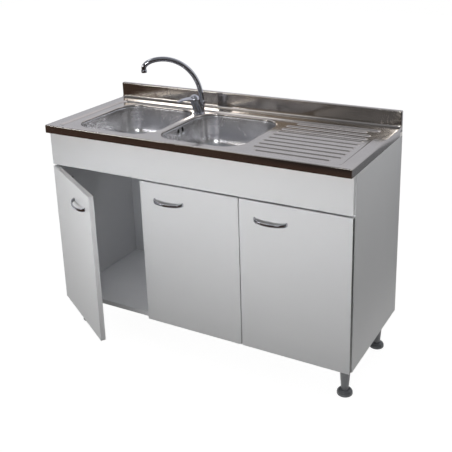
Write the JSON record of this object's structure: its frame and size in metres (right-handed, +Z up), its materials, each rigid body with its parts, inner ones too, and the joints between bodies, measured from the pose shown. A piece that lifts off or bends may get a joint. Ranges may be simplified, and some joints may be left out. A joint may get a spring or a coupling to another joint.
{
  "type": "kitchen sink unit",
  "caption": "Freestanding kitchen sink unit: pressed steel top with bowls, ribbed drainboard and lever tap on a white cabinet with hinged doors and adjustable legs.",
  "frame": {"origin": "on the floor, in the middle of the outer box with the left door open as pictured", "axes": "+X along the unit to its right end, +Y to the wall, +Z up"},
  "size_m": [1.2, 0.6842, 1.0705],
  "materials": {
    "steel": "brushed stainless sheet",
    "chrome": "polished chrome plate",
    "laminate": "white melamine-faced chipboard",
    "board": "pale melamine-faced chipboard",
    "batten": "planed softwood",
    "hinge": "nickel-plated steel",
    "leg": "grey moulded plastic",
    "foot": "dark grey moulded plastic",
    "waste": "polished stainless steel",
    "plastic": "white moulded plastic"
  },
  "bodies": {
    "cabinet": {"sink_top": "steel", "left_bowl": "steel", "right_bowl": "steel", "overflow_housing": "plastic", "tap_flange": "chrome", "tap_shank": "waste", "tap_washer": "hinge", "tap_nut": "hinge", "tap_body": "chrome", "spout_nut": "chrome", "left_side_panel": "laminate", "right_side_panel": "laminate", "base_panel": "board", "partition_panel": "board", "back_panel": "board", "rear_rail": "board", "fascia_panel": "laminate", "front_batten": "batten", "rear_batten": "batten", "left_waste_body": "waste", "left_waste_nut": "waste", "right_waste_body": "waste", "right_waste_nut": "waste", "left_lower_hinge_arm": "hinge", "left_upper_hinge_arm": "hinge", "middle_lower_hinge_arm": "hinge", "middle_upper_hinge_arm": "hinge", "right_lower_hinge_arm": "hinge", "right_upper_hinge_arm": "hinge", "front_left_leg_socket": "leg", "front_left_leg": "leg", "front_right_leg_socket": "leg", "front_right_leg": "leg", "rear_left_leg_socket": "leg", "rear_left_leg": "leg", "rear_right_leg_socket": "leg", "rear_right_leg": "leg"},
    "left_door": {"left_door": "laminate", "left_handle": "chrome", "left_lower_hinge_cup": "hinge", "left_upper_hinge_cup": "hinge"},
    "middle_door": {"middle_door": "laminate", "middle_handle": "chrome", "middle_lower_hinge_cup": "hinge", "middle_upper_hinge_cup": "hinge"},
    "right_door": {"right_door": "laminate", "right_handle": "chrome", "right_lower_hinge_cup": "hinge", "right_upper_hinge_cup": "hinge"},
    "spout": {"spout": "chrome", "aerator": "chrome"},
    "cartridge": {"cartridge_stem": "hinge"},
    "lever": {"tap_lever": "chrome"},
    "left_strainer": {"left_strainer": "waste"},
    "right_strainer": {"right_strainer": "waste"},
    "front_left_foot": {"front_left_foot": "foot"},
    "front_right_foot": {"front_right_foot": "foot"},
    "rear_left_foot": {"rear_left_foot": "foot"},
    "rear_right_foot": {"rear_right_foot": "foot"}
  },
  "joints": [
    {"name": "left_door_hinge", "type": "hinge", "parent": "cabinet", "child": "left_door", "pos_m": [-0.596, -0.13593, 0.408], "axis": [0, 0, -1], "range_deg": [-31.6, 73.4]},
    {"name": "middle_door_hinge", "type": "hinge", "parent": "cabinet", "child": "middle_door", "pos_m": [0.1958, -0.13593, 0.408], "axis": [0, 0, 1], "range_deg": [0, 105]},
    {"name": "right_door_hinge", "type": "hinge", "parent": "cabinet", "child": "right_door", "pos_m": [0.596, -0.13593, 0.408], "axis": [0, 0, 1], "range_deg": [0, 105]},
    {"name": "spout_swivel", "type": "hinge", "parent": "cabinet", "child": "spout", "pos_m": [-0.16625, 0.25207, 0.9], "axis": [0, 0, 1], "range_deg": [-50, 150]},
    {"name": "lever_turn", "type": "hinge", "parent": "cabinet", "child": "cartridge", "pos_m": [-0.16625, 0.2036, 0.90255], "axis": [0, -0.454, 0.891], "range_deg": [-20, 70]},
    {"name": "lever_lift", "type": "hinge", "parent": "cartridge", "child": "lever", "pos_m": [-0.16625, 0.2036, 0.90255], "axis": [-0.9063, 0.3766, 0.1919], "range_deg": [0, 25]},
    {"name": "left_strainer_lift", "type": "slide", "parent": "cabinet", "child": "left_strainer", "axis": [0, 0, 1], "range_m": [0, 0.03]},
    {"name": "right_strainer_lift", "type": "slide", "parent": "cabinet", "child": "right_strainer", "axis": [0, 0, 1], "range_m": [0, 0.03]},
    {"name": "front_left_foot_screw", "type": "slide", "parent": "cabinet", "child": "front_left_foot", "axis": [0, 0, -1], "range_m": [0, 0.015]},
    {"name": "front_right_foot_screw", "type": "slide", "parent": "cabinet", "child": "front_right_foot", "axis": [0, 0, -1], "range_m": [0, 0.015]},
    {"name": "rear_left_foot_screw", "type": "slide", "parent": "cabinet", "child": "rear_left_foot", "axis": [0, 0, -1], "range_m": [0, 0.015]},
    {"name": "rear_right_foot_screw", "type": "slide", "parent": "cabinet", "child": "rear_right_foot", "axis": [0, 0, -1], "range_m": [0, 0.015]}
  ]
}
